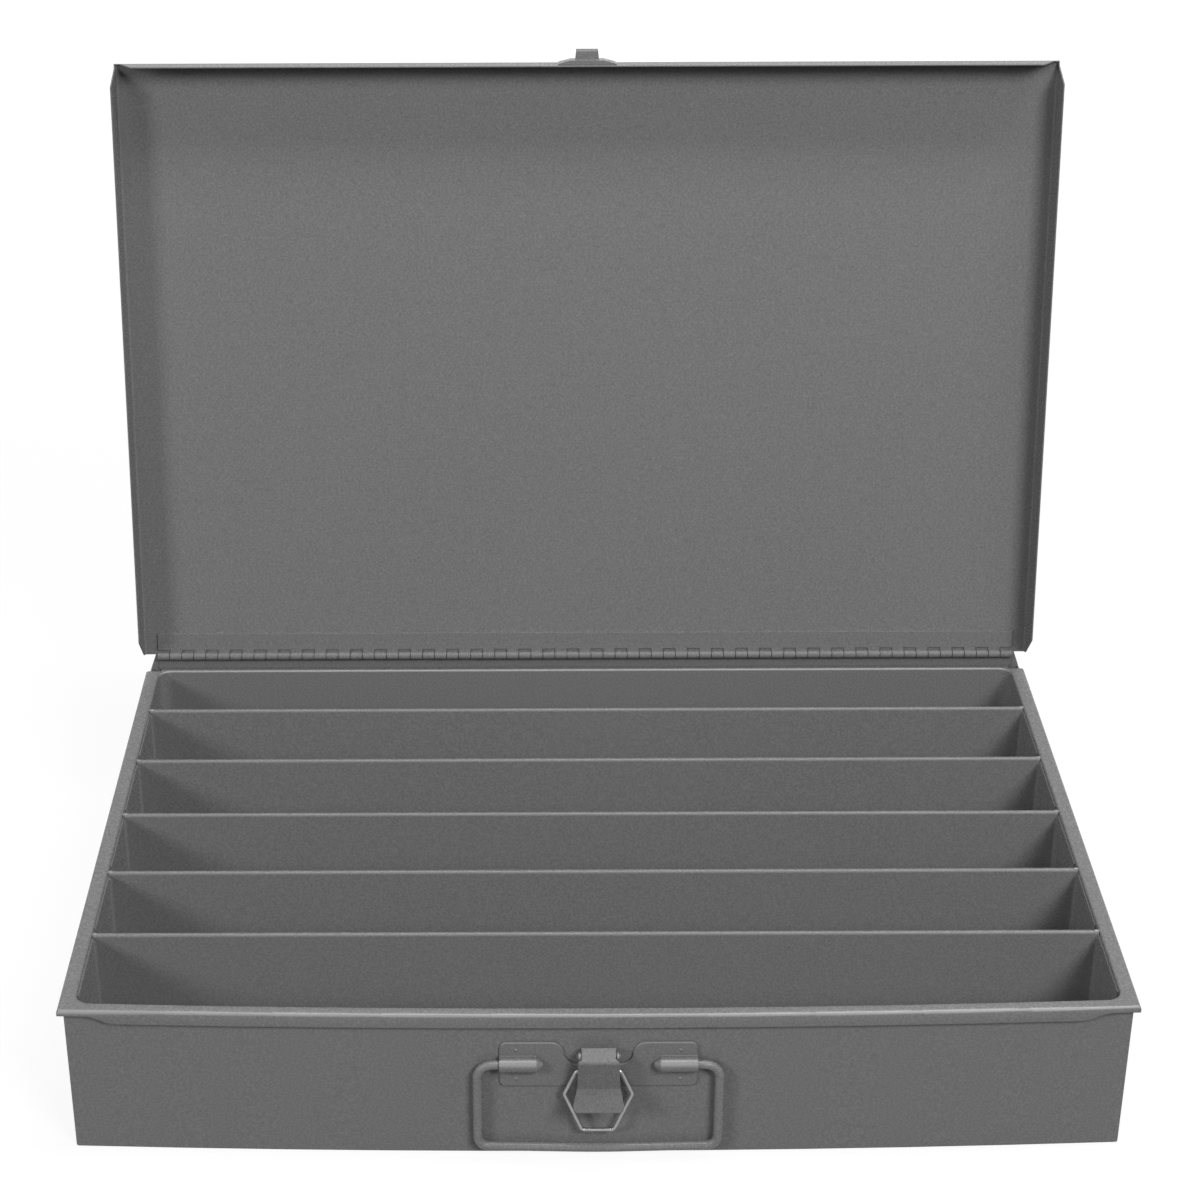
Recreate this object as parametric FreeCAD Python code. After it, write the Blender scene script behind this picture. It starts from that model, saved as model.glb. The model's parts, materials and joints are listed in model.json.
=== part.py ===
import FreeCAD, Part
import math
import os

# Steel compartment box with its lid standing open, in millimetres.
# X runs across the front, Y from front to rear and Z up. The origin is under the middle of the floor.

# Sheet metal, clearances and helpers
sheet = 0.61
seat_gap = 0.1
running_gap = 0.06
cut_overrun = 6.0
match_tolerance = 0.001

# Outer shell
shell_width = 451.5
shell_depth = 299.6
front_crown = 4.8
shell_bend = 1.0
rear_corner_cut = 2.85

# Tray liner and its rim
rim_height = 74.2
rim_side_overhang = 2.25
rim_front_overhang = 2.4
side_flange = 7.0
front_flange = 5.7
rear_ledge = 3.7
ledge_end_inset = 1.0
tray_corner_radius = 6.5
floor_bend = 1.2
rim_bend = 1.0
rim_edge_radius = 1.5
flange_end_gap = 0.4
side_lip = 3.0
front_lip = 6.7
lip_step_run = 14.6
lip_step_inset = 11.0

# Dividers
divider_count = 5
rear_compartment = 41.0
hem_thickness = 2.6
hem_height = 6.0
hem_round_share = 0.45
hem_end_relief = 0.3
divider_tab = 42.0
divider_bend = 1.4
tab_top_drop = 1.7

# Piano hinge
knuckle_count = 71
hinge_length = 443.0
hinge_rise = 7.4
hinge_pin_diameter = 2.1
leaf_thickness = 0.8
leaf_height = 12.0
knuckle_end_gap = 0.3
leaf_notch_gap = 1.1
barrel_gap = 0.3

# Lid
open_angle = 99.7
lid_side_gap = 0.35
lid_front_gap = 3.4
lid_skirt = 17.0
lid_setback = 0.5
lid_bend = 1.6
lid_stop_gap = 0.15
skirt_rear_run = 11.6
skirt_rear_rise = 15.0
skirt_front_run = 9.4
skirt_front_nose = 2.2
skirt_front_rise = 14.6
front_skirt_run = 10.0
front_skirt_nose = 2.5
front_skirt_rise = 15.0

# Lid catch
catch_width = 29.0
catch_height = 10.0
catch_edge = 0.8
catch_boss = 2.2
catch_bevel = 1.0
catch_boss_width = 16.0
catch_below_top = 4.0
catch_tab_width = 11.5
catch_tab_taper = 0.5
catch_tab_reach = 4.8
catch_tab_sheet = 1.0
catch_hook_height = 2.3
catch_bend = 0.5

# Latch plate with its handle sleeves
plate_width = 84.0
plate_height = 23.0
plate_foot = 36.1
plate_sheet = 1.0
plate_corner = 3.0
plate_edge_radius = 0.7
notch_depth = 11.4
notch_half_top = 20.5
notch_half_bottom = 8.5
sleeve_rise = 12.7
sleeve_length = 15.7
sleeve_taper = 2.7
sleeve_tip_radius = 1.2
sleeve_wall = 1.3
sleeve_end_gap = 0.5
weld_bump_radius = 0.9
weld_bump_height = 0.35
weld_bump_inset = 7.2
weld_bump_edge = 4.0

# Carrying handle
handle_rod = 4.0
handle_width = 106.8
handle_drop = 43.0
handle_bow = 1.3
handle_top_bend = 6.5
handle_low_bend = 5.0
handle_bow_radius = 400.0
handle_wall_gap = 0.5

# Latch pin and the plate's ears
latch_pin_diameter = 1.6
latch_pin_out = 4.8
latch_pin_rise = 18.55
latch_pin_head = 2.4
latch_pin_head_length = 0.6
ear_sheet = 1.0
ear_round = 1.9
ear_gap = 0.35
ear_foot_drop = 4.0
ear_waist_out = 2.6
ear_waist_rise = 11.0

# Latch lever
lever_sheet = 0.8
lever_top_width = 14.5
lever_shoulder_width = 17.3
lever_flare_width = 18.2
lever_tip_width = 21.5
lever_tip_corner = 3.5
lever_bend = 0.8
lever_top_in = 1.6
lever_top_up = 3.35
lever_knee_out = 4.2
lever_knee_down = 0.55
lever_flare_down = 13.65
lever_widest_down = 20.6
lever_tip_out = 8.2
lever_tip_down = 23.35
lever_flange_down = 11.2
lever_flange_in = 2.4
lever_flange_chamfer = 1.6

# Latch bail
bail_wire = 1.6
bail_pivot_in = 0.8
bail_pivot_down = 8.2
bail_eye_reach = 0.9
bail_wide_half = 14.55
bail_wide_down = 11.75
bail_bar_half = 6.85
bail_length = 31.05
bail_eye_bend = 1.3
bail_bend = 2.0
bail_end_gap = 0.6

# Places worked out from the sizes above
front_y = -shell_depth / 2
rear_y = shell_depth / 2
knuckle_radius = hinge_pin_diameter / 2 + running_gap + leaf_thickness
hinge_y = rear_y - sheet - barrel_gap - knuckle_radius
hinge_z = rim_height + hinge_rise
leaf_front_y = rear_y - sheet - leaf_thickness
rim_half = shell_width / 2 + rim_side_overhang
rim_front = front_y - rim_front_overhang
tray_half = rim_half - side_flange
tray_front = rim_front + front_flange
tray_rear = leaf_front_y - seat_gap - rear_ledge
tray_floor = sheet + sheet
open_turn = math.radians(open_angle)
lid_under = hinge_z + knuckle_radius + barrel_gap
lid_top = lid_under + sheet
stop_rise = lid_setback * math.sin(open_turn) + (lid_top - hinge_z) * math.cos(open_turn)
rear_wall_top = hinge_z + stop_rise - lid_stop_gap
rim_rear = hinge_y - knuckle_radius - flange_end_gap
lid_half = rim_half + lid_side_gap + sheet
lid_front = rim_front - lid_front_gap - sheet
skirt_z = lid_top - lid_skirt
handle_out = handle_rod / 2 + handle_wall_gap
handle_z = plate_foot + sleeve_rise
pin_z = plate_foot + latch_pin_rise
bail_out = latch_pin_out - bail_pivot_in
bail_z = pin_z - bail_pivot_down


# Basic shapes

def vec(x, y, z):
    return FreeCAD.Vector(x, y, z)


def block(x0, x1, y0, y1, z0, z1):
    return Part.makeBox(x1 - x0, y1 - y0, z1 - z0, vec(x0, y0, z0))


def wide_block(half, y0, y1, z0, z1):
    return block(-half, half, y0, y1, z0, z1)


def crosswise_rod(y, z, radius, x0, x1):
    return Part.makeCylinder(radius, x1 - x0, vec(x0, y, z), vec(1, 0, 0))


def side_prism(points, x0, x1):
    corners = [vec(x0, y, z) for y, z in points]
    face = Part.Face(Part.makePolygon(corners + corners[:1]))
    return face.extrude(vec(x1 - x0, 0, 0))


def front_prism(points, y0, y1):
    corners = [vec(x, y0, z) for x, z in points]
    face = Part.Face(Part.makePolygon(corners + corners[:1]))
    return face.extrude(vec(0, y1 - y0, 0))


def crowned_block(half, y_front, y_rear, z0, z1):
    left = vec(-half, y_front + front_crown, z0)
    right = vec(half, y_front + front_crown, z0)
    back_right = vec(half, y_rear, z0)
    back_left = vec(-half, y_rear, z0)
    edges = [Part.Arc(left, vec(0, y_front, z0), right).toShape()]
    for start, end in ((right, back_right), (back_right, back_left), (back_left, left)):
        edges.append(Part.LineSegment(start, end).toShape())
    return Part.Face(Part.Wire(edges)).extrude(vec(0, 0, z1 - z0))


def mirrored(shape):
    return shape.mirror(vec(0, 0, 0), vec(1, 0, 0))


def with_mirror(shape):
    return [shape, mirrored(shape)]


def joined(shapes):
    return shapes[0].fuse(shapes[1:]).removeSplitter()


def out_from_wall(distance):
    return front_y - distance


# Edge rounding

def is_upright(edge):
    box = edge.BoundBox
    return box.XLength < match_tolerance and box.YLength < match_tolerance


def lies_at(edge, z):
    box = edge.BoundBox
    return abs(box.ZMin - z) < match_tolerance and abs(box.ZMax - z) < match_tolerance


def runs_across_at(edge, y, z):
    box = edge.BoundBox
    straight = box.YLength < match_tolerance and box.ZLength < match_tolerance
    return straight and abs(box.Center.y - y) < match_tolerance and abs(box.Center.z - z) < match_tolerance


def rounded(shape, radius, wanted):
    edges = [edge for edge in shape.Edges if wanted(edge)]
    return shape.makeFillet(radius, edges)


def rounded_box(shape, corner_radius, floor_z, floor_radius):
    shape = rounded(shape, corner_radius, is_upright)
    return rounded(shape, floor_radius, lambda edge: lies_at(edge, floor_z))


# Curves

def arc_edge(start, middle, end):
    return Part.Arc(start, middle, end).toShape()


def line_edge(start, end):
    return Part.LineSegment(start, end).toShape()


def s_curve(x0, z0, x1, z1, y):
    """Two equal arcs from one level to another, level at both ends."""
    run = x1 - x0
    rise = z1 - z0
    radius = (run * run + rise * rise) / (4 * abs(rise))
    turn = math.acos(1 - abs(rise) / 2 / radius)
    across = math.copysign(radius, run) * math.sin(turn / 2)
    up = math.copysign(radius, rise) * (1 - math.cos(turn / 2))
    middle = vec((x0 + x1) / 2, y, (z0 + z1) / 2)
    first = arc_edge(vec(x0, y, z0), vec(x0 + across, y, z0 + up), middle)
    second = arc_edge(middle, vec(x1 - across, y, z1 - up), vec(x1, y, z1))
    return [first, second]


def bent_path(points, radii):
    """Straight runs joined by tangent arcs, with one radius for each inner point."""
    edges = []
    start = points[0]
    for before, corner, after, radius in zip(points, points[1:], points[2:], radii):
        back = (before - corner).normalize()
        ahead = (after - corner).normalize()
        half_angle = back.getAngle(ahead) / 2
        reach = radius / math.tan(half_angle)
        inward = (back + ahead).normalize()
        entry = corner + back * reach
        leave = corner + ahead * reach
        middle = corner + inward * (radius / math.sin(half_angle) - radius)
        edges.append(line_edge(start, entry))
        edges.append(arc_edge(entry, middle, leave))
        start = leave
    edges.append(line_edge(start, points[-1]))
    return Part.Wire(edges)


def bent_rod(points, radii, diameter):
    path = bent_path(points, radii)
    circle = Part.Circle(points[0], points[1] - points[0], diameter / 2)
    section = Part.Wire(circle.toShape())
    return path.makePipeShell([section], True, False)


# Base

def outer_shell():
    half = shell_width / 2
    above = rear_wall_top + cut_overrun
    body = crowned_block(half, front_y, rear_y, 0, rear_wall_top)
    body = rounded_box(body, shell_bend, 0, shell_bend)
    hollow = crowned_block(half - sheet, front_y + sheet, rear_y - sheet, sheet, above)
    hollow = rounded_box(hollow, shell_bend - sheet, sheet, shell_bend - sheet)
    wall_top = rim_height - sheet
    beyond = half + cut_overrun
    ahead = wide_block(beyond, front_y - cut_overrun, rear_y - sheet, wall_top, above)
    corner = [
        (half, wall_top),
        (half - rear_corner_cut, rear_wall_top),
        (half - rear_corner_cut, above),
        (beyond, above),
        (beyond, wall_top),
    ]
    corner_cut = front_prism(corner, rear_y - sheet - cut_overrun, rear_y + cut_overrun)
    return body.cut([hollow, ahead] + with_mirror(corner_cut))


def rim():
    top = rim_height
    low = top - front_lip
    below = low - cut_overrun
    wall = crowned_block(rim_half, rim_front, rim_rear, low, top)
    wall = rounded(wall, rim_edge_radius, is_rim_edge)
    core = crowned_block(rim_half - sheet, rim_front + sheet, rim_rear + cut_overrun, below, top - sheet)
    core = rounded(core, rim_edge_radius - sheet, is_under_rim)
    y = rim_front - cut_overrun
    outer_x = rim_half - lip_step_inset
    inner_x = outer_x - lip_step_run
    edge_z = top - side_lip
    edges = s_curve(inner_x, low, outer_x, edge_z, y)
    far_x = rim_half + cut_overrun
    corners = [vec(outer_x, y, edge_z), vec(far_x, y, edge_z), vec(far_x, y, below),
               vec(inner_x, y, below), vec(inner_x, y, low)]
    edges += [line_edge(start, end) for start, end in zip(corners, corners[1:])]
    step = Part.Face(Part.Wire(edges)).extrude(vec(0, shell_depth + cut_overrun * 2, 0))
    return wall.cut([core] + with_mirror(step))


def tray_liner():
    top = rim_height
    wall_half = tray_half + sheet
    walls = crowned_block(wall_half, tray_front - sheet, tray_rear + sheet, sheet, top)
    walls = rounded_box(walls, tray_corner_radius + sheet, sheet, floor_bend + sheet)
    ledge_half = tray_half - ledge_end_inset
    ledge = wide_block(ledge_half, tray_rear, leaf_front_y - seat_gap, top - sheet, top)
    void = crowned_block(tray_half, tray_front, tray_rear, tray_floor, top + cut_overrun)
    void = rounded_box(void, tray_corner_radius, tray_floor, floor_bend)
    tray = joined([walls, rim(), ledge])
    tray = rounded(tray, rim_bend - sheet, is_under_bend)
    return rounded(tray.cut(void), rim_bend, is_rim_mouth)


def is_under_bend(edge):
    box = edge.BoundBox
    inside = box.XMax < tray_half + sheet + match_tolerance and box.XMin > -tray_half - sheet - match_tolerance
    within_rear = box.YMax < tray_rear + sheet + match_tolerance
    return lies_at(edge, rim_height - sheet) and inside and within_rear


def is_rim_mouth(edge):
    box = edge.BoundBox
    inside = box.XMax < tray_half + match_tolerance and box.XMin > -tray_half - match_tolerance
    within = box.YMax < tray_rear + match_tolerance and box.YMin > tray_front - match_tolerance
    return lies_at(edge, rim_height) and inside and within


def is_under_rim(edge):
    box = edge.BoundBox
    at_side = abs(abs(box.Center.x) - rim_half + sheet) < match_tolerance
    at_front = abs(box.YMin - rim_front - sheet) < match_tolerance
    return lies_at(edge, rim_height - sheet) and (at_side or at_front)


def is_rim_edge(edge):
    box = edge.BoundBox
    at_side = abs(abs(box.Center.x) - rim_half) < match_tolerance
    at_front = abs(box.YMin - rim_front) < match_tolerance
    return lies_at(edge, rim_height) and (at_side or at_front)


def divider(y):
    half = tray_half
    face_y = y - sheet / 2
    wall = wide_block(half, face_y, face_y + sheet, tray_floor, rim_height - hem_height / 2)
    hem_half = half - hem_end_relief
    hem = wide_block(hem_half, face_y, face_y + hem_thickness, rim_height - hem_height, rim_height)
    hem = rounded(hem, hem_thickness * hem_round_share, lambda edge: is_crosswise_at(edge, rim_height))
    tab_top = rim_height - tab_top_drop
    tab = block(half - sheet, half, face_y + sheet - divider_tab, face_y + sheet, tray_floor, tab_top)
    low_corner = front_prism(
        [
            (half - floor_bend * 2, tray_floor),
            (half, tray_floor + floor_bend * 2),
            (half + cut_overrun, tray_floor - cut_overrun),
        ],
        face_y - divider_tab - cut_overrun,
        face_y + cut_overrun,
    )
    sheet_part = joined([wall] + with_mirror(tab))
    sheet_part = rounded(sheet_part, divider_bend, lambda edge: is_tab_bend(edge, face_y))
    return joined([sheet_part, hem]).cut(with_mirror(low_corner))


def is_crosswise_at(edge, z):
    return lies_at(edge, z) and edge.BoundBox.YLength < match_tolerance


def is_tab_bend(edge, face_y):
    box = edge.BoundBox
    in_corner = abs(abs(box.Center.x) - tray_half + sheet) < match_tolerance
    return is_upright(edge) and in_corner and abs(box.Center.y - face_y) < match_tolerance


def divider_places():
    first = tray_front + front_crown
    last = tray_rear - rear_compartment
    pitch = (last - first) / divider_count
    return [first + pitch * number for number in range(1, divider_count + 1)]


# Piano hinge

def knuckle_slots(first):
    """X spans of every second knuckle, widened by the end gap."""
    length = hinge_length / knuckle_count
    starts = [length * number - hinge_length / 2 for number in range(first, knuckle_count, 2)]
    return [(start - knuckle_end_gap / 2, start + length + knuckle_end_gap / 2) for start in starts]


def hinge_barrel_and_leaf(leaf):
    half = hinge_length / 2
    barrel = crosswise_rod(hinge_y, hinge_z, knuckle_radius, -half, half)
    bore_radius = hinge_pin_diameter / 2 + running_gap
    bore = crosswise_rod(hinge_y, hinge_z, bore_radius, -half - cut_overrun, half + cut_overrun)
    return joined([barrel, leaf]).cut(bore)


def hinge_base_leaf():
    foot = hinge_z - leaf_height
    leaf = wide_block(hinge_length / 2, leaf_front_y, leaf_front_y + leaf_thickness, foot, rear_wall_top)
    low = hinge_z - knuckle_radius - leaf_notch_gap
    high = hinge_z + knuckle_radius + cut_overrun
    rear = hinge_y + knuckle_radius + cut_overrun
    front = hinge_y - knuckle_radius - cut_overrun
    notches = [block(x0, x1, front, rear, low, high) for x0, x1 in knuckle_slots(1)]
    return hinge_barrel_and_leaf(leaf).cut(notches)


def hinge_lid_leaf():
    rear_end = hinge_y - lid_setback
    foot = hinge_y - leaf_height
    leaf = wide_block(hinge_length / 2, foot, rear_end, lid_under - leaf_thickness, lid_under)
    front = hinge_y - knuckle_radius - leaf_notch_gap
    rear = hinge_y + knuckle_radius + cut_overrun
    low = hinge_z - knuckle_radius - cut_overrun
    high = lid_under + cut_overrun
    notches = [block(x0, x1, front, rear, low, high) for x0, x1 in knuckle_slots(0)]
    return opened(hinge_barrel_and_leaf(leaf).cut(notches))


def hinge_pin():
    half = hinge_length / 2
    return crosswise_rod(hinge_y, hinge_z, hinge_pin_diameter / 2, -half, half)


# Lid, modelled closed and then turned open about the hinge

def opened(shape):
    shape.rotate(vec(0, hinge_y, hinge_z), vec(1, 0, 0), -open_angle)
    return shape


def lid_pan():
    rear = hinge_y - lid_setback
    inner = lid_half - sheet
    pan = wide_block(lid_half, lid_front, rear, skirt_z, lid_top)
    pan = rounded(pan, lid_bend, lambda edge: is_lid_bend(edge, lid_top, rear))
    void = wide_block(inner, lid_front + sheet, rear + cut_overrun, skirt_z - cut_overrun, lid_under)
    void = rounded(void, lid_bend - sheet, lambda edge: is_lid_bend(edge, lid_under, rear + cut_overrun))
    below = skirt_z - cut_overrun
    beyond = lid_half + cut_overrun
    rear_corner = [
        (rear - skirt_rear_run, skirt_z),
        (rear, skirt_z + skirt_rear_rise),
        (rear + cut_overrun, skirt_z + skirt_rear_rise),
        (rear + cut_overrun, below),
        (rear - skirt_rear_run, below),
    ]
    front_corner = [
        (lid_front + skirt_front_run, skirt_z),
        (lid_front + skirt_front_nose, skirt_z + skirt_front_rise),
        (lid_front - cut_overrun, skirt_z + skirt_front_rise),
        (lid_front - cut_overrun, below),
        (lid_front + skirt_front_run, below),
    ]
    skirt_end = [
        (lid_half - front_skirt_run, skirt_z),
        (lid_half - front_skirt_nose, skirt_z + front_skirt_rise),
        (beyond, skirt_z + front_skirt_rise),
        (beyond, below),
        (lid_half - front_skirt_run, below),
    ]
    cuts = [void]
    for outline in (rear_corner, front_corner):
        cuts += with_mirror(side_prism(outline, lid_half - lid_bend, beyond))
    cuts += with_mirror(front_prism(skirt_end, lid_front - cut_overrun, lid_front + lid_bend))
    return opened(pan.cut(cuts))


def is_lid_bend(edge, z, rear):
    return lies_at(edge, z) and abs(edge.BoundBox.YMin - rear) > match_tolerance


def lid_catch():
    half = catch_width / 2
    boss_half = catch_boss_width / 2
    top = lid_top - catch_below_top
    outline = [
        (-half, 0),
        (-half + catch_bevel, catch_edge),
        (-boss_half, catch_boss),
        (boss_half, catch_boss),
        (half - catch_bevel, catch_edge),
        (half, 0),
    ]
    corners = [vec(x, lid_front - out, top - catch_height) for x, out in outline]
    base = Part.Face(Part.makePolygon(corners + corners[:1])).extrude(vec(0, 0, catch_height))
    tab_low = top - catch_height / 2 - catch_tab_sheet
    boss_face = lid_front - catch_boss
    tip = boss_face - catch_tab_reach
    profile = [
        (boss_face, tab_low),
        (tip, tab_low),
        (tip, tab_low + catch_tab_sheet + catch_hook_height),
        (tip + catch_tab_sheet, tab_low + catch_tab_sheet + catch_hook_height),
        (tip + catch_tab_sheet, tab_low + catch_tab_sheet),
        (boss_face, tab_low + catch_tab_sheet),
    ]
    root_half = catch_tab_width / 2
    tip_half = root_half - catch_tab_taper
    tab = side_prism(profile, -root_half, root_half)
    tab = rounded(tab, catch_bend + catch_tab_sheet, lambda edge: runs_across_at(edge, tip, tab_low))
    inner_corner = (tip + catch_tab_sheet, tab_low + catch_tab_sheet)
    tab = rounded(tab, catch_bend, lambda edge: runs_across_at(edge, *inner_corner))
    low = tab_low - cut_overrun
    plan = [vec(-root_half, boss_face, low), vec(root_half, boss_face, low), vec(tip_half, tip, low),
            vec(-tip_half, tip, low)]
    height = catch_tab_sheet + catch_hook_height + cut_overrun * 2
    tapered = tab.common(Part.Face(Part.makePolygon(plan + plan[:1])).extrude(vec(0, 0, height)))
    return opened(joined([base, tapered]))


# Latch plate, pin and handle

def plate_blank():
    half = plate_width / 2
    low = plate_foot
    top = plate_foot + plate_height
    floor = top - notch_depth
    y = out_from_wall(plate_sheet)
    edges = [line_edge(vec(-half, y, top), vec(-notch_half_top, y, top))]
    edges += s_curve(-notch_half_top, top, -notch_half_bottom, floor, y)
    edges.append(line_edge(vec(-notch_half_bottom, y, floor), vec(notch_half_bottom, y, floor)))
    edges += s_curve(notch_half_bottom, floor, notch_half_top, top, y)
    corners = [vec(notch_half_top, y, top), vec(half, y, top), vec(half, y, low), vec(-half, y, low),
               vec(-half, y, top)]
    edges += [line_edge(start, end) for start, end in zip(corners, corners[1:])]
    blank = Part.Face(Part.Wire(edges)).extrude(vec(0, plate_sheet, 0))
    blank = rounded(blank, plate_corner, lambda edge: is_plate_corner(edge, half))
    return rounded(blank, plate_edge_radius, lambda edge: abs(edge.BoundBox.YMax - y) < match_tolerance)


def is_plate_corner(edge, half):
    box = edge.BoundBox
    runs_deep = box.XLength < match_tolerance and box.ZLength < match_tolerance
    return runs_deep and abs(abs(box.Center.x) - half) < match_tolerance


def handle_sleeve():
    outer = plate_width / 2
    inner = outer - sleeve_length
    y = out_from_wall(handle_out)
    radius = handle_rod / 2 + running_gap + sleeve_wall
    tube = crosswise_rod(y, handle_z, radius, inner, outer)
    foot = block(inner, outer, y, front_y, handle_z - radius, handle_z + radius)
    tip_x = inner - sleeve_taper
    cone = Part.makeCone(sleeve_tip_radius, radius, sleeve_taper, vec(tip_x, y, handle_z), vec(1, 0, 0))
    behind = block(tip_x, outer, front_y, front_y + radius, handle_z - radius, handle_z + radius)
    return joined([tube, foot, cone]).cut(behind)


def sleeve_bore():
    outer = plate_width / 2 + cut_overrun
    inner = plate_width / 2 - sleeve_length + sleeve_wall
    y = out_from_wall(handle_out)
    radius = handle_rod / 2 + running_gap
    tube = crosswise_rod(y, handle_z, radius, inner, outer)
    channel = block(inner, outer, y, front_y + cut_overrun, handle_z - radius, handle_z + radius)
    return tube.fuse(channel)


def plate_ear():
    inner = lever_top_width / 2 + ear_gap
    outer = inner + ear_sheet
    notch_floor = plate_foot + plate_height - notch_depth
    waist_z = plate_foot + ear_waist_rise
    pin_y = out_from_wall(latch_pin_out)
    outline = [
        (front_y, notch_floor - ear_foot_drop),
        (out_from_wall(plate_sheet), notch_floor - ear_foot_drop),
        (out_from_wall(ear_waist_out), waist_z),
        (pin_y - ear_round, pin_z),
        (pin_y, pin_z + ear_round),
        (pin_y + ear_round, pin_z),
        (front_y, notch_floor),
    ]
    arm = side_prism(outline, inner, outer)
    eye = crosswise_rod(pin_y, pin_z, ear_round, inner, outer)
    hole_radius = latch_pin_diameter / 2 + running_gap
    hole = crosswise_rod(pin_y, pin_z, hole_radius, inner - cut_overrun, outer + cut_overrun)
    return joined([arm, eye]).cut(hole)


def weld_bumps():
    x = plate_width / 2 - weld_bump_inset
    y = out_from_wall(plate_sheet)
    places = [plate_foot + weld_bump_edge, plate_foot + plate_height - weld_bump_edge]
    bumps = []
    for z in places:
        dome = Part.makeCone(weld_bump_radius, weld_bump_radius / 2, weld_bump_height, vec(x, y, z), vec(0, -1, 0))
        bumps += with_mirror(dome)
    return bumps


def latch_plate():
    pieces = [plate_blank()] + with_mirror(handle_sleeve())
    plate = joined(pieces).cut(with_mirror(sleeve_bore()))
    return joined([plate] + with_mirror(plate_ear()) + weld_bumps())


def latch_pin():
    y = out_from_wall(latch_pin_out)
    half = lever_top_width / 2 + ear_gap + ear_sheet
    shaft = crosswise_rod(y, pin_z, latch_pin_diameter / 2, -half, half)
    head = crosswise_rod(y, pin_z, latch_pin_head / 2, half, half + latch_pin_head_length)
    return joined([shaft] + with_mirror(head))


def carry_handle():
    y = out_from_wall(handle_out)
    half = handle_width / 2 - handle_rod / 2
    end = plate_width / 2 - sleeve_length + sleeve_wall + sleeve_end_gap
    low = handle_z - handle_drop
    points = [
        vec(-end, y, handle_z),
        vec(-half, y, handle_z),
        vec(-half, y, low),
        vec(0, y, low - handle_bow),
        vec(half, y, low),
        vec(half, y, handle_z),
        vec(end, y, handle_z),
    ]
    radii = [handle_top_bend, handle_low_bend, handle_bow_radius, handle_low_bend, handle_top_bend]
    return bent_rod(points, radii, handle_rod)


# Latch lever and bail

def lever_side(points):
    """Outline points given as out from and up from the latch pin."""
    return [(out_from_wall(latch_pin_out + out), pin_z + up) for out, up in points]


def lever_strip():
    outer = [
        (-lever_top_in, lever_top_up),
        (lever_knee_out, -lever_knee_down),
        (lever_knee_out, -lever_flare_down),
        (lever_tip_out, -lever_tip_down),
    ]
    slope = math.atan2(lever_top_up + lever_knee_down, lever_knee_out + lever_top_in)
    flare = math.atan2(lever_tip_out - lever_knee_out, lever_tip_down - lever_flare_down)
    knee_shift = lever_sheet * math.tan((math.pi / 2 - slope) / 2)
    flare_shift = lever_sheet * math.tan(flare / 2)
    inner = [
        (-lever_top_in - lever_sheet * math.sin(slope), lever_top_up - lever_sheet * math.cos(slope)),
        (lever_knee_out - lever_sheet, -lever_knee_down - knee_shift),
        (lever_knee_out - lever_sheet, -lever_flare_down - flare_shift),
        (lever_tip_out - lever_sheet * math.cos(flare), -lever_tip_down - lever_sheet * math.sin(flare)),
    ]
    strip = side_prism(lever_side(outer + inner[::-1]), -lever_tip_width, lever_tip_width)
    wide_bend = lever_bend + lever_sheet
    bends = [(outer[1], wide_bend), (inner[1], lever_bend), (outer[2], lever_bend), (inner[2], wide_bend)]
    for place, radius in bends:
        y, z = lever_side([place])[0]
        strip = rounded(strip, radius, lambda edge: runs_across_at(edge, y, z))
    return strip


def lever_front_outline():
    """Half outline of the lever seen from the front, as half width and height above the pin."""
    shoulder = -lever_knee_down
    return [
        (lever_top_width / 2, lever_top_up + cut_overrun),
        (lever_top_width / 2, shoulder + lever_sheet),
        (lever_shoulder_width / 2, shoulder),
        (lever_flare_width / 2, -lever_flare_down),
        (lever_tip_width / 2, -lever_widest_down),
        (lever_tip_width / 2, -lever_tip_down - lever_sheet),
    ]


def lever_flange():
    outer = lever_top_width / 2
    outline = [
        (-lever_top_in, lever_top_up - lever_sheet / 2),
        (lever_knee_out - lever_sheet / 2, -lever_knee_down - lever_sheet / 2),
        (lever_knee_out - lever_sheet / 2, -lever_flange_down),
        (-lever_flange_in + lever_flange_chamfer, -lever_flange_down),
        (-lever_flange_in, -lever_flange_down + lever_flange_chamfer),
        (-lever_flange_in, lever_top_up - lever_sheet * 2),
    ]
    flange = side_prism(lever_side(outline), outer - lever_sheet, outer)
    pin_hole = latch_pin_diameter / 2 + running_gap
    bail_hole = bail_wire / 2 + running_gap
    left = outer - lever_sheet - cut_overrun
    right = outer + cut_overrun
    holes = [
        crosswise_rod(out_from_wall(latch_pin_out), pin_z, pin_hole, left, right),
        crosswise_rod(out_from_wall(bail_out), bail_z, bail_hole, left, right),
    ]
    return flange.cut(holes)


def latch_lever():
    half = lever_front_outline()
    points = [(x, pin_z + up) for x, up in half]
    points += [(-x, z) for x, z in reversed(points)]
    y_front = out_from_wall(latch_pin_out + lever_tip_out + cut_overrun)
    outline = front_prism(points, y_front, front_y)
    outline = rounded(outline, lever_tip_corner, is_tip_corner)
    face = lever_strip().common(outline)
    return joined([face] + with_mirror(lever_flange()))


def is_tip_corner(edge):
    box = edge.BoundBox
    runs_deep = box.XLength < match_tolerance and box.ZLength < match_tolerance
    return runs_deep and abs(box.Center.z - pin_z + lever_tip_down + lever_sheet) < match_tolerance


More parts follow.
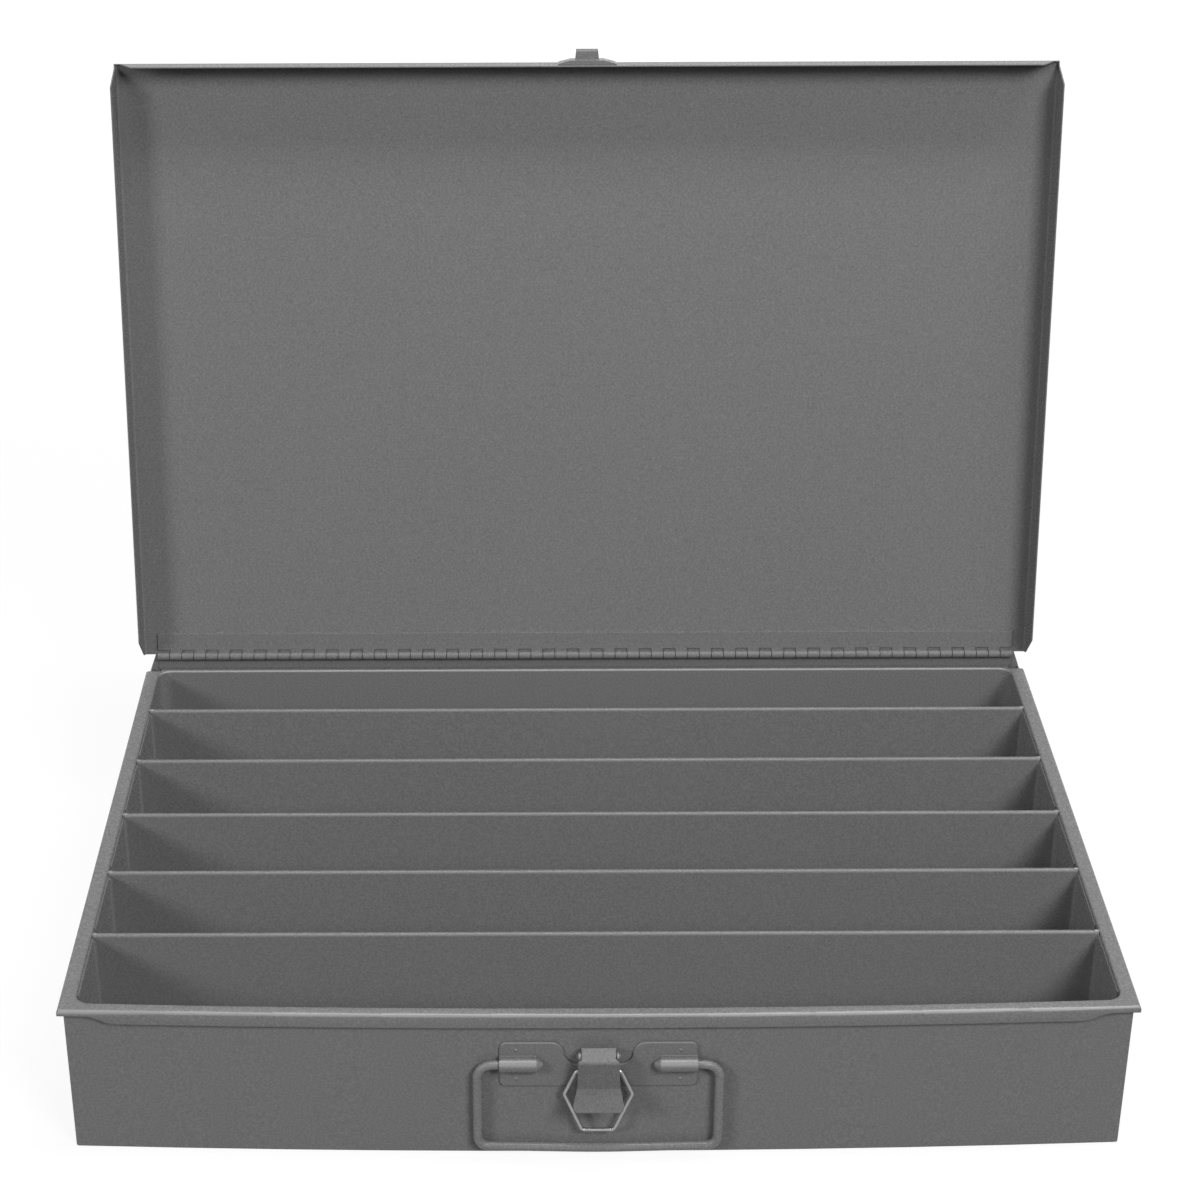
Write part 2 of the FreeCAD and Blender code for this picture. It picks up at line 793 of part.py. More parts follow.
def latch_bail():
    y = out_from_wall(bail_out)
    eye = lever_shoulder_width / 2 + bail_eye_reach
    end = lever_top_width / 2 - lever_sheet - bail_end_gap
    half = [
        (end, 0),
        (eye, 0),
        (bail_wide_half, -bail_wide_down),
        (bail_bar_half, -bail_length),
    ]
    right = [vec(x, y, bail_z + up) for x, up in half]
    left = [vec(-x, y, bail_z + up) for x, up in reversed(half)]
    radii = [bail_eye_bend, bail_bend, bail_bend, bail_bend, bail_bend, bail_eye_bend]
    return bent_rod(right + left, radii, bail_wire)


# Write every piece

def build():
    nodes = {
        "outer_shell": outer_shell(),
        "tray_liner": tray_liner(),
        "hinge_base_leaf": hinge_base_leaf(),
        "hinge_pin": hinge_pin(),
        "latch_plate": latch_plate(),
        "latch_pin": latch_pin(),
        "lid_pan": lid_pan(),
        "hinge_lid_leaf": hinge_lid_leaf(),
        "lid_catch": lid_catch(),
        "carry_handle": carry_handle(),
        "latch_lever": latch_lever(),
        "latch_bail": latch_bail(),
    }
    for number, y in enumerate(divider_places(), start=1):
        nodes["divider_%d" % number] = divider(y)
    return nodes


os.makedirs("parts", exist_ok=True)
for name, shape in build().items():
    shape.exportStep("parts/%s.step" % name)
    print(name, len(shape.Solids), "solids", round(shape.Volume), "mm3", "valid" if shape.isValid() else "INVALID")
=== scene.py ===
import json
import math
from collections import namedtuple

import bmesh
import bpy
from bpy.props import FloatProperty, FloatVectorProperty, IntProperty, PointerProperty
from mathutils import Matrix, Vector


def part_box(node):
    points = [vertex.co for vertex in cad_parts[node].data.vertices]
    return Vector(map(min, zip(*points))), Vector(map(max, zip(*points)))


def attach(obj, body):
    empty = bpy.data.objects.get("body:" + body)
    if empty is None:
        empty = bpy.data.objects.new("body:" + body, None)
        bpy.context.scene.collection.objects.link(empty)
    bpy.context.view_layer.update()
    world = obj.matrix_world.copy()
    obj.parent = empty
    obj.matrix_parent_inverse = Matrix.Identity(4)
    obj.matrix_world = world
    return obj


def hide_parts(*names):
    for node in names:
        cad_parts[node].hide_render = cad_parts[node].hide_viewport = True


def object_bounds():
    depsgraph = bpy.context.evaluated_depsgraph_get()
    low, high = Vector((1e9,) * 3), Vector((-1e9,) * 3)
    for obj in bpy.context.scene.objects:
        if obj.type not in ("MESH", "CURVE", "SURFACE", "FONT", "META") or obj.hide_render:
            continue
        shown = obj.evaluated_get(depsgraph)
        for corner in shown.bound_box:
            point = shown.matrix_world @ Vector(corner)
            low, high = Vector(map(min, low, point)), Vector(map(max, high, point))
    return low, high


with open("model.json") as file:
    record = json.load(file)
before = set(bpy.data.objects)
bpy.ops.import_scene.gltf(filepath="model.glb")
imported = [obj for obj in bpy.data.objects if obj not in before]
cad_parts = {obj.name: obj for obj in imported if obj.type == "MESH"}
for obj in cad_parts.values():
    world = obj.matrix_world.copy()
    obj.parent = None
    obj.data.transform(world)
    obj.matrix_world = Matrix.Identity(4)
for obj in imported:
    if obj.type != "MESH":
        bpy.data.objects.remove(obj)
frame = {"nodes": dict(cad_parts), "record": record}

bl_info = {
    "name": "Steel Compartment Box",
    "version": (1, 0, 0),
    "blender": (4, 5, 0),
    "location": "3D View > Sidebar > Box",
    "description": "Baked paint, weld beads and a plain studio for a sheet-steel compartment box",
    "category": "Object",
}

CAD_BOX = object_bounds()
MM = 0.001
WHITE = (1.0, 1.0, 1.0, 1.0)
SENSOR_WIDTH = 36.0
NEAREST_SEEN = 0.01

SHELL_NODES = ("outer_shell",)
LID_NODES = ("lid_pan",)
TRAY_NODE = "tray_liner"
DIVIDER_NODES = tuple(sorted(name for name in frame["nodes"] if name.startswith("divider_")))
HINGE_NODES = ("hinge_base_leaf", "hinge_lid_leaf")
PLATE_NODES = ("latch_plate",)
HANDLE_NODES = ("carry_handle",)
LATCH_NODES = ("latch_pin", "latch_lever", "lid_catch")
BAIL_NODES = ("latch_bail",)
PIN_NODES = ("hinge_pin",)

# How each group takes the paint: lightness, which paints light or shade into the group's colour,
# gloss, sheet edges paled by wear and by a painted highlight, and a painted highlight on forward,
# upward bends
Coat = namedtuple("Coat", "lightness gloss wear rub")
PAN_COAT = Coat(lightness=1.0, gloss=0.16, wear=0.7, rub=0.8)
# The lid is painted a shade darker than the shell: painted shade for the light falling off on it
LID_COAT = Coat(lightness=0.96, gloss=0.03, wear=0.4, rub=0.0)
DIVIDER_COAT = Coat(lightness=1.0, gloss=0.1, wear=0.6, rub=0.0)
# The hinge is painted darker to tone down the light on its barrel: painted shade
HINGE_COAT = Coat(lightness=0.91, gloss=0.04, wear=0.2, rub=0.0)
# The lever, its pin and the catch are painted darker than the sheet: painted shade
LATCH_COAT = Coat(lightness=0.84, gloss=0.1, wear=1.0, rub=0.0)
# The plate's strongly paled edges and lifted bends are a painted highlight along its top edge, with
# some edge wear
PLATE_COAT = Coat(lightness=0.99, gloss=0.15, wear=1.5, rub=0.7)
# The handle is painted lighter than the sheet: painted light on its round rod
HANDLE_COAT = Coat(lightness=1.1, gloss=0.2, wear=0.5, rub=0.05)
WELD_COAT = Coat(lightness=1.1, gloss=0.3, wear=1.0, rub=0.0)

# Values at which a pattern starts and is full
TONE_STOPS = (0.3, 0.7)
GRAIN_STOPS = (0.32, 0.68)
EDGE_STOPS = (0.02, 0.25)
HIGHLIGHT_STOPS = (0.22, 0.45)
HAZE_STOPS = (0.35, 0.65)

# Detail and roughness of a noise
BROAD_NOISE = (2.0, 0.5)
FINE_NOISE = (3.0, 0.6)

# What the grain, the edges and the haze do to relief and polish
GRAIN_RELIEF = 0.35
GRAIN_MIDDLE = 0.5
GRAIN_DULLING = 0.06
EDGE_POLISH = 0.05
HAZE_DULLING = 0.12

EDGE_SAMPLES = 6
MIX_SHARE, MIX_FIRST, MIX_SECOND, MIX_RESULT = 0, 6, 7, 2


def recorded_colour(slot):
    for material in frame["record"]["materials"]:
        if material["slot"] == slot:
            return tuple(material["base_color"])
    raise RuntimeError("the record has no material slot " + slot)


# Shader expressions

class Wire:
    """A shader value that takes part in sums and products like a number."""

    def __init__(self, recipe, socket):
        self.recipe = recipe
        self.socket = socket

    def maths(self, operation, first, second):
        return self.recipe.node("ShaderNodeMath", {"operation": operation}, {0: first, 1: second})

    def __add__(self, other):
        return self.maths("ADD", self, other)

    def __radd__(self, other):
        return self.maths("ADD", other, self)

    def __sub__(self, other):
        return self.maths("SUBTRACT", self, other)

    def __rsub__(self, other):
        return self.maths("SUBTRACT", other, self)

    def __mul__(self, other):
        return self.maths("MULTIPLY", self, other)

    def __rmul__(self, other):
        return self.maths("MULTIPLY", other, self)


class Recipe:
    """The node tree of one material or of the world."""

    def __init__(self, owner):
        owner.use_nodes = True
        self.tree = owner.node_tree
        self.tree.nodes.clear()

    def node(self, kind, settings, inputs, output=0):
        made = self.tree.nodes.new(kind)
        for key, value in settings.items():
            if key == "stops":
                for element, (place, shade) in zip(made.color_ramp.elements, value):
                    element.position = place
                    element.color = (shade, shade, shade, 1.0)
            else:
                setattr(made, key, value)
        for key, value in inputs.items():
            if isinstance(value, Wire):
                self.tree.links.new(value.socket, made.inputs[key])
            else:
                made.inputs[key].default_value = value
        return Wire(self, made.outputs[output]) if made.outputs else None

    def noise(self, scale, texture):
        place = self.node("ShaderNodeTexCoord", {}, {}, "Object")
        detail, roughness = texture
        inputs = {"Vector": place, "Scale": scale, "Detail": detail, "Roughness": roughness}
        return self.node("ShaderNodeTexNoise", {"noise_dimensions": "3D"}, inputs, "Fac")

    def ramp(self, value, stops):
        start, full = stops
        return self.node("ShaderNodeValToRGB", {"stops": ((start, 0.0), (full, 1.0))}, {"Fac": value})

    def blend(self, share, first, second):
        inputs = {MIX_SHARE: share, MIX_FIRST: first, MIX_SECOND: second}
        return self.node("ShaderNodeMix", {"data_type": "RGBA"}, inputs, MIX_RESULT)

    def clouds(self, share, colour, spread):
        return self.blend(share, shade_of(colour, 1.0 - spread), shade_of(colour, 1.0 + spread))

    def surface(self, shader):
        self.node("ShaderNodeOutputMaterial", {}, {"Surface": shader})


def shade_of(colour, factor):
    return (*(channel * factor for channel in colour), 1.0)


def new_material(name):
    material = bpy.data.materials.new(name)
    return material, Recipe(material)


# Mask of the surfaces that face forward and up, where a highlight is painted into the colour
def painted_bend_highlight(recipe, rounded):
    settings = {"vector_type": "NORMAL", "convert_from": "WORLD", "convert_to": "OBJECT"}
    facing = recipe.node("ShaderNodeVectorTransform", settings, {"Vector": rounded})
    along = recipe.node("ShaderNodeSeparateXYZ", {}, {"Vector": facing}, "Y")
    upward = recipe.node("ShaderNodeSeparateXYZ", {}, {"Vector": facing}, "Z")
    return recipe.ramp(along * upward * -1.0, HIGHLIGHT_STOPS)


def sheet_edge(recipe, rounded):
    facing = recipe.node("ShaderNodeNewGeometry", {}, {}, "Normal")
    settings = {"operation": "DOT_PRODUCT"}
    flatness = recipe.node("ShaderNodeVectorMath", settings, {0: rounded, 1: facing}, "Value")
    return recipe.ramp(1.0 - flatness, EDGE_STOPS)


def baked_paint(name, paint, coat):
    material, recipe = new_material(name)
    # The group's lightness paints light or shade into the enamel's colour
    colour = tuple(channel * coat.lightness for channel in paint.colour)
    tone = recipe.ramp(recipe.noise(paint.tone_scale, BROAD_NOISE), TONE_STOPS)
    grain = recipe.ramp(recipe.noise(paint.grain_scale, FINE_NOISE), GRAIN_STOPS)
    peel = recipe.noise(paint.peel_scale, BROAD_NOISE)
    rounded = recipe.node("ShaderNodeBevel", {"samples": EDGE_SAMPLES}, {"Radius": paint.edge_radius})
    edge = sheet_edge(recipe, rounded)
    # Painted highlight: bends that face forward and up are painted lighter
    highlit = painted_bend_highlight(recipe, rounded) * coat.rub
    base = recipe.clouds(tone, colour, paint.tone_spread)
    base = recipe.blend(grain, base, shade_of(colour, 1.0 + paint.grain_spread))
    # Sheet edges are painted paler, partly for edge wear and partly as a painted highlight
    base = recipe.blend(edge * coat.wear, base, shade_of(colour, 1.0 + paint.edge_lift))
    base = recipe.blend(highlit, base, shade_of(colour, 1.0 + paint.highlight_lift))
    bump = recipe.node("ShaderNodeBump", {}, {
        "Strength": paint.bump_strength, "Distance": paint.bump_depth,
        "Height": grain * GRAIN_RELIEF + peel, "Normal": rounded})
    roughness = paint.roughness + (grain - GRAIN_MIDDLE) * GRAIN_DULLING - edge * EDGE_POLISH
    recipe.surface(recipe.node("ShaderNodeBsdfPrincipled", {}, {
        "Base Color": base, "Roughness": roughness, "Normal": bump, "Specular IOR Level": coat.gloss}))
    return material


def bright_wire(name, steel, darkening):
    material, recipe = new_material(name)
    # The darkening is the bail's own duller plating, and on the hinge pin a painted shade for the
    # hinge's gaps
    colour = tuple(channel * darkening for channel in steel.colour)
    haze = recipe.ramp(recipe.noise(steel.haze_scale, FINE_NOISE), HAZE_STOPS)
    bump = recipe.node("ShaderNodeBump", {}, {
        "Strength": steel.bump_strength, "Distance": steel.bump_depth, "Height": haze})
    recipe.surface(recipe.node("ShaderNodeBsdfPrincipled", {}, {
        "Base Color": recipe.clouds(haze, colour, steel.haze_spread), "Metallic": 1.0,
        "Roughness": steel.roughness + haze * HAZE_DULLING, "Normal": bump}))
    return material


def dress(nodes, material):
    for name in nodes:
        slots = frame["nodes"][name].material_slots
        if not slots:
            raise RuntimeError(name + " has no material slot")
        for slot in slots:
            slot.material = material


# Settings

class PaintSettings(bpy.types.PropertyGroup):
    colour: FloatVectorProperty(
        name="Colour", description="Baked grey enamel", subtype="COLOR", size=3, min=0.0, max=1.0,
        default=(0.175, 0.175, 0.177))
    roughness: FloatProperty(
        name="Roughness", description="Satin of the paint", default=0.27, min=0.05, max=1.0)
    tone_scale: FloatProperty(
        name="Tone scale", description="How fine the broad shading is", default=11.0)
    tone_spread: FloatProperty(
        name="Tone spread", description="Depth of the broad shading", default=0.02)
    grain_scale: FloatProperty(
        name="Grain scale", description="How fine the speckle is", default=1100.0)
    grain_spread: FloatProperty(
        name="Grain spread", description="Lightness of the speckle", default=0.42)
    peel_scale: FloatProperty(
        name="Peel scale", description="How fine the paint's ripple is", default=420.0)
    bump_strength: FloatProperty(
        name="Ripple strength", description="Strength of the ripple", default=0.15)
    bump_depth: FloatProperty(
        name="Ripple depth", description="Height of the ripple",
        default=0.03 * MM, precision=6, unit="LENGTH")
    edge_radius: FloatProperty(
        name="Edge radius", description="Paint rounding on sheet edges",
        default=0.5 * MM, precision=5, unit="LENGTH")
    # Sheet edges are painted paler for edge wear and as a painted highlight
    edge_lift: FloatProperty(
        name="Edge lift", description="Lightness of sheet edges", default=0.5)
    # How much lighter the painted highlight on forward, upward bends is
    highlight_lift: FloatProperty(
        name="Highlight lift", description="Lightness of rubbed bends", default=0.9)


class SteelSettings(bpy.types.PropertyGroup):
    colour: FloatVectorProperty(
        name="Colour", description="Plated steel wire", subtype="COLOR", size=3, min=0.0, max=1.0,
        default=recorded_colour("bright_steel"))
    roughness: FloatProperty(
        name="Roughness", description="Polish of the wire", default=0.3, min=0.05, max=1.0)
    darkening: FloatProperty(
        name="Bail dulling", description="Share of the bare colour left on the bail",
        default=0.62, min=0.0, max=1.0)
    # The hinge pin is darkened nearly to black so the gaps between the knuckles read as shade: painted
    # shade
    pin_painted_shade: FloatProperty(
        name="Pin dulling", description="Share of the bare colour left on the pin",
        default=0.05, min=0.0, max=1.0)
    haze_scale: FloatProperty(
        name="Haze scale", description="How fine the clouding is", default=700.0)
    haze_spread: FloatProperty(
        name="Haze spread", description="Depth of the clouding", default=0.12)
    bump_strength: FloatProperty(
        name="Haze relief", description="Strength of the clouding's relief", default=0.25)
    bump_depth: FloatProperty(
        name="Haze depth", description="Height of the clouding",
        default=0.02 * MM, precision=6, unit="LENGTH")


class TraySettings(bpy.types.PropertyGroup):
    weld_distance: FloatProperty(
        name="Weld distance", description="Facet corners this close are one",
        default=0.002 * MM, precision=6, unit="LENGTH")
    sharp_angle: FloatProperty(
        name="Sharp angle", description="Bends sharper than this stay crisp",
        default=math.radians(55.0), subtype="ANGLE")
    flat_weight: IntProperty(
        name="Flat weight", description="How far large flats keep their own shading",
        default=85, min=1, max=100)


class BeadSettings(bpy.types.PropertyGroup):
    length: FloatProperty(
        name="Length", description="Bead along the divider",
        default=3.0 * MM, precision=5, unit="LENGTH")
    width: FloatProperty(
        name="Width", description="Bead across the divider",
        default=1.9 * MM, precision=5, unit="LENGTH")
    height: FloatProperty(
        name="Height", description="Bead from top to bottom",
        default=1.2 * MM, precision=5, unit="LENGTH")
    inset: FloatProperty(
        name="Inset", description="Bead's middle from the divider's end",
        default=1.1 * MM, precision=5, unit="LENGTH")
    setback: FloatProperty(
        name="Setback", description="Bead's middle from the hem's rear",
        default=1.3 * MM, precision=5, unit="LENGTH")
    sink: FloatProperty(
        name="Sink", description="Bead's middle below the hem's top",
        default=0.3 * MM, precision=5, unit="LENGTH")
    rounds: IntProperty(
        name="Rounds", description="Fineness of the bead", default=3, min=1, max=5)


class StageSettings(bpy.types.PropertyGroup):
    camera_place: FloatVectorProperty(
        name="Camera place", description="Where the camera stands",
        default=(-0.0278, -1.0389, 0.7339), size=3, subtype="TRANSLATION")
    camera_pitch: FloatProperty(
        name="Camera pitch", description="How far the camera looks down",
        default=math.radians(27.339), subtype="ANGLE")
    camera_roll: FloatProperty(
        name="Camera roll", description="Tilt of the picture",
        default=math.radians(-0.199), subtype="ANGLE")
    focal_pixels: FloatProperty(
        name="Focal length", description="In pixels of the picture", default=2608.1)
    middle_x: FloatProperty(
        name="Middle x", description="Pixel on the lens axis, across", default=531.1)
    middle_y: FloatProperty(
        name="Middle y", description="Pixel on the lens axis, down", default=588.2)
    picture: FloatProperty(
        name="Picture", description="Pixels along one side of the picture", default=1200.0)
    key_place: FloatVectorProperty(
        name="Key place", description="Softbox on the right",
        default=(1.23, -2.01, 1.93), size=3, subtype="TRANSLATION")
    key_power: FloatProperty(
        name="Key power", description="Softbox on the right", default=47.0, unit="POWER")
    key_size: FloatProperty(
        name="Key size", description="Softbox on the right", default=0.95, unit="LENGTH")
    fill_place: FloatVectorProperty(
        name="Fill place", description="Softbox on the left",
        default=(-2.18, -1.63, 1.32), size=3, subtype="TRANSLATION")
    fill_power: FloatProperty(
        name="Fill power", description="Softbox on the left", default=27.0, unit="POWER")
    fill_size: FloatProperty(
        name="Fill size", description="Softbox on the left", default=0.7, unit="LENGTH")
    top_place: FloatVectorProperty(
        name="Top place", description="Middle of the lights overhead",
        default=(0.45, -0.05, 1.90), size=3, subtype="TRANSLATION")
    top_length: FloatProperty(
        name="Top length", description="Lights overhead, across the box", default=1.8, unit="LENGTH")
    top_width: FloatProperty(
        name="Top width", description="Strip light front to rear", default=0.3, unit="LENGTH")
    top_power: FloatProperty(
        name="Top power", description="Strip light overhead", default=19.0, unit="POWER")
    edge_width: FloatProperty(
        name="Edge width", description="Panel light front to rear", default=1.1, unit="LENGTH")
    edge_power: FloatProperty(
        name="Edge power", description="Panel light that only shines on bends",
        default=75.0, unit="POWER")
    back_place: FloatVectorProperty(
        name="Back place", description="Globe behind the box",
        default=(0.0, 2.3, 0.8), size=3, subtype="TRANSLATION")
    back_power: FloatProperty(
        name="Back power", description="Globe behind the box", default=95.0, unit="POWER")
    back_radius: FloatProperty(
        name="Back radius", description="Globe behind the box", default=0.25, unit="LENGTH")
    room_light: FloatProperty(
        name="Room light", description="Light from all around", default=0.12)
    floor_size: FloatProperty(
        name="Floor size", description="Side of the floor", default=12.0, unit="LENGTH")
    floor_glow: FloatProperty(
        name="Floor glow", description="Brightness of the floor and the room as seen", default=0.9)
    floor_shade: FloatProperty(
        name="Floor shade", description="Share of the light that the floor gives back", default=0.12)


class BoxSettings(bpy.types.PropertyGroup):
    paint: PointerProperty(name="Paint", description="Baked enamel", type=PaintSettings)
    steel: PointerProperty(name="Steel", description="Bail and hinge pin", type=SteelSettings)
    tray: PointerProperty(name="Tray", description="Shading of the tray's bends", type=TraySettings)
    beads: PointerProperty(name="Beads", description="Welds of the dividers", type=BeadSettings)
    stage: PointerProperty(name="Stage", description="Floor, lights and camera", type=StageSettings)


# Pieces

def paint_nodes(context, name, nodes, coat):
    dress(nodes, baked_paint(name, context.scene.compartment_box.paint, coat))


def add_piece(context, name, shape, material):
    mesh = bpy.data.meshes.new(name)
    shape.to_mesh(mesh)
    shape.free()
    mesh.materials.append(material)
    piece = bpy.data.objects.new(name, mesh)
    context.scene.collection.objects.link(piece)
    return piece


def smooth_faces(shape):
    for face in shape.faces:
        face.smooth = True


def bead_spots(beads):
    spots = []
    for name in DIVIDER_NODES:
        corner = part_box(name)[1]
        for side in (-1.0, 1.0):
            across = side * (corner.x - beads.inset)
            spots.append(Vector((across, corner.y - beads.setback, corner.z - beads.sink)))
    return spots


class BOX_OT_paint_shell(bpy.types.Operator):
    """Paint the outer shell"""
    bl_idname = "compartment_box.paint_shell"
    bl_label = "Paint Shell"

    def execute(self, context):
        paint_nodes(context, "shell_paint", SHELL_NODES, PAN_COAT)
        return {"FINISHED"}


class BOX_OT_paint_lid(bpy.types.Operator):
    """Paint the lid"""
    bl_idname = "compartment_box.paint_lid"
    bl_label = "Paint Lid"

    def execute(self, context):
        paint_nodes(context, "lid_paint", LID_NODES, LID_COAT)
        return {"FINISHED"}


class BOX_OT_press_tray(bpy.types.Operator):
    """Show the tray with evenly shaded bends, and paint it"""
    bl_idname = "compartment_box.press_tray"
    bl_label = "Press Tray"

    def execute(self, context):
        settings = context.scene.compartment_box
        shape = bmesh.new()
        shape.from_mesh(frame["nodes"][TRAY_NODE].data)
        bmesh.ops.remove_doubles(shape, verts=shape.verts, dist=settings.tray.weld_distance)
        for edge in shape.edges:
            edge.smooth = edge.calc_face_angle(math.pi) < settings.tray.sharp_angle
        smooth_faces(shape)
        paint = baked_paint("tray_paint", settings.paint, PAN_COAT)
        tray = add_piece(context, "tray_sheet", shape, paint)
        shading = tray.modifiers.new("even_bends", "WEIGHTED_NORMAL")
        shading.keep_sharp = True
        shading.weight = settings.tray.flat_weight
        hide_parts(TRAY_NODE)
        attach(tray, "base")
        return {"FINISHED"}


class BOX_OT_paint_dividers(bpy.types.Operator):
    """Paint the five dividers"""
    bl_idname = "compartment_box.paint_dividers"
    bl_label = "Paint Dividers"

    def execute(self, context):
        paint_nodes(context, "divider_paint", DIVIDER_NODES, DIVIDER_COAT)
        return {"FINISHED"}


class BOX_OT_paint_hinge(bpy.types.Operator):
    """Paint the two leaves of the piano hinge"""
    bl_idname = "compartment_box.paint_hinge"
    bl_label = "Paint Hinge"

    def execute(self, context):
        paint_nodes(context, "hinge_paint", HINGE_NODES, HINGE_COAT)
        return {"FINISHED"}


class BOX_OT_weld_dividers(bpy.types.Operator):
    """Lay a weld bead at both ends of each divider"""
    bl_idname = "compartment_box.weld_dividers"
    bl_label = "Weld Dividers"

    def execute(self, context):
        settings = context.scene.compartment_box
        shape = bmesh.new()
        size = Vector((settings.beads.length, settings.beads.width, settings.beads.height)) / 2.0
        for spot in bead_spots(settings.beads):
            bmesh.ops.create_icosphere(
                shape, subdivisions=settings.beads.rounds, radius=1.0,
                matrix=Matrix.Translation(spot) @ Matrix.Diagonal((*size, 1.0)))
        smooth_faces(shape)
        paint = baked_paint("weld_paint", settings.paint, WELD_COAT)
        beads = add_piece(context, "divider_welds", shape, paint)
        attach(beads, "base")
        return {"FINISHED"}


class BOX_OT_paint_latch(bpy.types.Operator):
    """Paint the latch lever, its pin and the lid catch"""
    bl_idname = "compartment_box.paint_latch"
    bl_label = "Paint Latch"

    def execute(self, context):
        paint_nodes(context, "latch_paint", LATCH_NODES, LATCH_COAT)
        return {"FINISHED"}


class BOX_OT_paint_handle(bpy.types.Operator):
    """Paint the carrying handle and its plate"""
    bl_idname = "compartment_box.paint_handle"
    bl_label = "Paint Handle"

    def execute(self, context):
        paint_nodes(context, "plate_paint", PLATE_NODES, PLATE_COAT)
        paint_nodes(context, "handle_paint", HANDLE_NODES, HANDLE_COAT)
        return {"FINISHED"}


class BOX_OT_plate_wires(bpy.types.Operator):
    """Give the latch bail its plated steel and the hinge pin a darkened steel, a painted shade for the
    hinge's gaps
    """
    bl_idname = "compartment_box.plate_wires"
    bl_label = "Plate Wires"

    def execute(self, context):
        steel = context.scene.compartment_box.steel
        dress(BAIL_NODES, bright_wire("bail_wire", steel, steel.darkening))
        # Painted shade: the darkened pin stands for the shade in the hinge's gaps
        dress(PIN_NODES, bright_wire("pin_wire", steel, steel.pin_painted_shade))
        return {"FINISHED"}


# Stage

def seen_directly(recipe):
    names = ("Is Camera Ray", "Is Glossy Ray", "Is Transmission Ray")
    camera, glossy, through = (recipe.node("ShaderNodeLightPath", {}, {}, name) for name in names)
    return camera + glossy + through


def floor_white(stage):
    material, recipe = new_material("floor_white")
    glow = recipe.node("ShaderNodeEmission", {}, {"Color": WHITE, "Strength": stage.floor_glow})
    dark = recipe.node("ShaderNodeEmission", {}, {"Strength": 0.0})
    lit = recipe.node("ShaderNodeMixShader", {}, {0: seen_directly(recipe), 1: dark, 2: glow})
    matt = recipe.node("ShaderNodeBsdfDiffuse", {}, {"Color": shade_of(WHITE[:3], stage.floor_shade)})
    recipe.surface(recipe.node("ShaderNodeAddShader", {}, {0: lit, 1: matt}))
    return material


def build_floor(context, stage):
    shape = bmesh.new()
    bmesh.ops.create_grid(shape, x_segments=1, y_segments=1, size=stage.floor_size / 2.0)
    floor = add_piece(context, "floor", shape, floor_white(stage))


def build_room(context, stage):
    world = bpy.data.worlds.new("room")
    context.scene.world = world
    recipe = Recipe(world)
    around = recipe.node("ShaderNodeBackground", {}, {"Strength": stage.room_light})
    behind = recipe.node("ShaderNodeBackground", {}, {"Color": WHITE, "Strength": stage.floor_glow})
    both = recipe.node("ShaderNodeMixShader", {}, {0: seen_directly(recipe), 1: around, 2: behind})
    recipe.node("ShaderNodeOutputWorld", {}, {"Surface": both})


def add_lamp(context, name, kind, place, power):
    light = bpy.data.lights.new(name, kind)
    light.energy = power
    lamp = bpy.data.objects.new(name, light)
    lamp.location = place
    lamp.visible_camera = False
    context.scene.collection.objects.link(lamp)
    return lamp


def add_softbox(context, name, place, size, power):
    lamp = add_lamp(context, name, "AREA", place, power)
    lamp.data.shape = "SQUARE"
    lamp.data.size = size
    low, high = CAD_BOX
    aim = (low + high) / 2.0 - lamp.location
    lamp.rotation_euler = aim.to_track_quat("-Z", "Y").to_euler()


def add_overhead(context, name, stage, width, power):
    lamp = add_lamp(context, name, "AREA", stage.top_place, power)
    lamp.data.shape = "RECTANGLE"
    lamp.data.size = stage.top_length
    lamp.data.size_y = width
    return lamp


def add_globe(context, name, place, radius, power):
    lamp = add_lamp(context, name, "POINT", place, power)
    lamp.data.shadow_soft_size = radius
    lamp.visible_glossy = False


def place_camera(context, stage):
    lens = bpy.data.cameras.new("camera")
    lens.sensor_width = SENSOR_WIDTH
    lens.lens = stage.focal_pixels / stage.picture * SENSOR_WIDTH
    lens.shift_x = 0.5 - stage.middle_x / stage.picture
    lens.shift_y = stage.middle_y / stage.picture - 0.5
    lens.clip_start = NEAREST_SEEN
    camera = bpy.data.objects.new("camera", lens)
    context.scene.collection.objects.link(camera)
    tip = Matrix.Rotation(math.pi / 2.0 - stage.camera_pitch, 4, "X")
    roll = Matrix.Rotation(stage.camera_roll, 4, "Z")
    camera.matrix_world = Matrix.Translation(stage.camera_place) @ tip @ roll
    context.scene.camera = camera


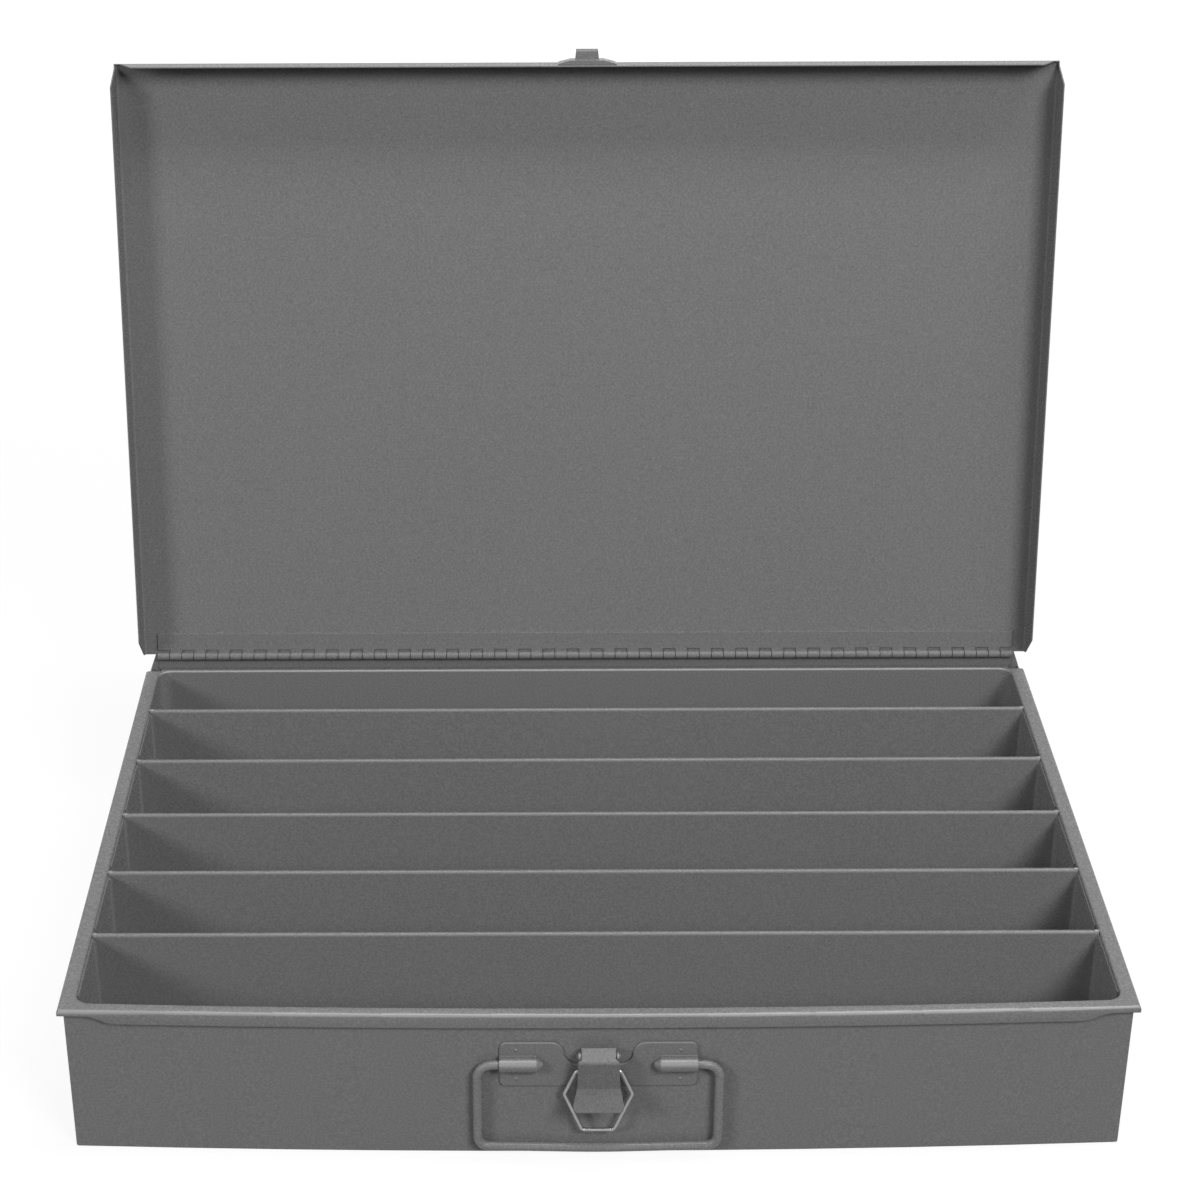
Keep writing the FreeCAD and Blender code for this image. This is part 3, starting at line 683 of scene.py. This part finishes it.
class BOX_OT_stage(bpy.types.Operator):
    """Set the floor, the lamps, the room and the camera"""
    bl_idname = "compartment_box.stage"
    bl_label = "Set Stage"

    def execute(self, context):
        stage = context.scene.compartment_box.stage
        build_floor(context, stage)
        build_room(context, stage)
        add_softbox(context, "key_softbox", stage.key_place, stage.key_size, stage.key_power)
        add_softbox(context, "fill_softbox", stage.fill_place, stage.fill_size, stage.fill_power)
        add_globe(context, "back_globe", stage.back_place, stage.back_radius, stage.back_power)
        add_overhead(context, "top_strip", stage, stage.top_width, stage.top_power)
        panel = add_overhead(context, "edge_panel", stage, stage.edge_width, stage.edge_power)
        panel.visible_diffuse = False
        place_camera(context, stage)
        context.scene.view_settings.view_transform = "Standard"
        return {"FINISHED"}


OPERATORS = (
    BOX_OT_paint_shell,
    BOX_OT_paint_lid,
    BOX_OT_press_tray,
    BOX_OT_paint_dividers,
    BOX_OT_paint_hinge,
    BOX_OT_weld_dividers,
    BOX_OT_paint_latch,
    BOX_OT_paint_handle,
    BOX_OT_plate_wires,
    BOX_OT_stage,
)


class BOX_PT_sidebar(bpy.types.Panel):
    """Lists the steps that finish the box"""
    bl_label = "Compartment Box"
    bl_idname = "BOX_PT_sidebar"
    bl_space_type = "VIEW_3D"
    bl_region_type = "UI"
    bl_category = "Box"

    def draw(self, context):
        for operator in OPERATORS:
            self.layout.operator(operator.bl_idname)


SETTINGS = (PaintSettings, SteelSettings, TraySettings, BeadSettings, StageSettings, BoxSettings)
CLASSES = (*SETTINGS, *OPERATORS, BOX_PT_sidebar)


def register():
    for item in CLASSES:
        bpy.utils.register_class(item)
    bpy.types.Scene.compartment_box = PointerProperty(
        name="Compartment box", description="Settings of the box and its stage", type=BoxSettings)


def unregister():
    del bpy.types.Scene.compartment_box
    for item in reversed(CLASSES):
        bpy.utils.unregister_class(item)


def main():
    register()
    steps = bpy.ops.compartment_box
    steps.paint_shell()
    steps.paint_lid()
    steps.press_tray()
    steps.paint_dividers()
    steps.paint_hinge()
    steps.weld_dividers()
    steps.paint_latch()
    steps.paint_handle()
    steps.plate_wires()
    steps.stage()


if __name__ == "__main__":
    main()
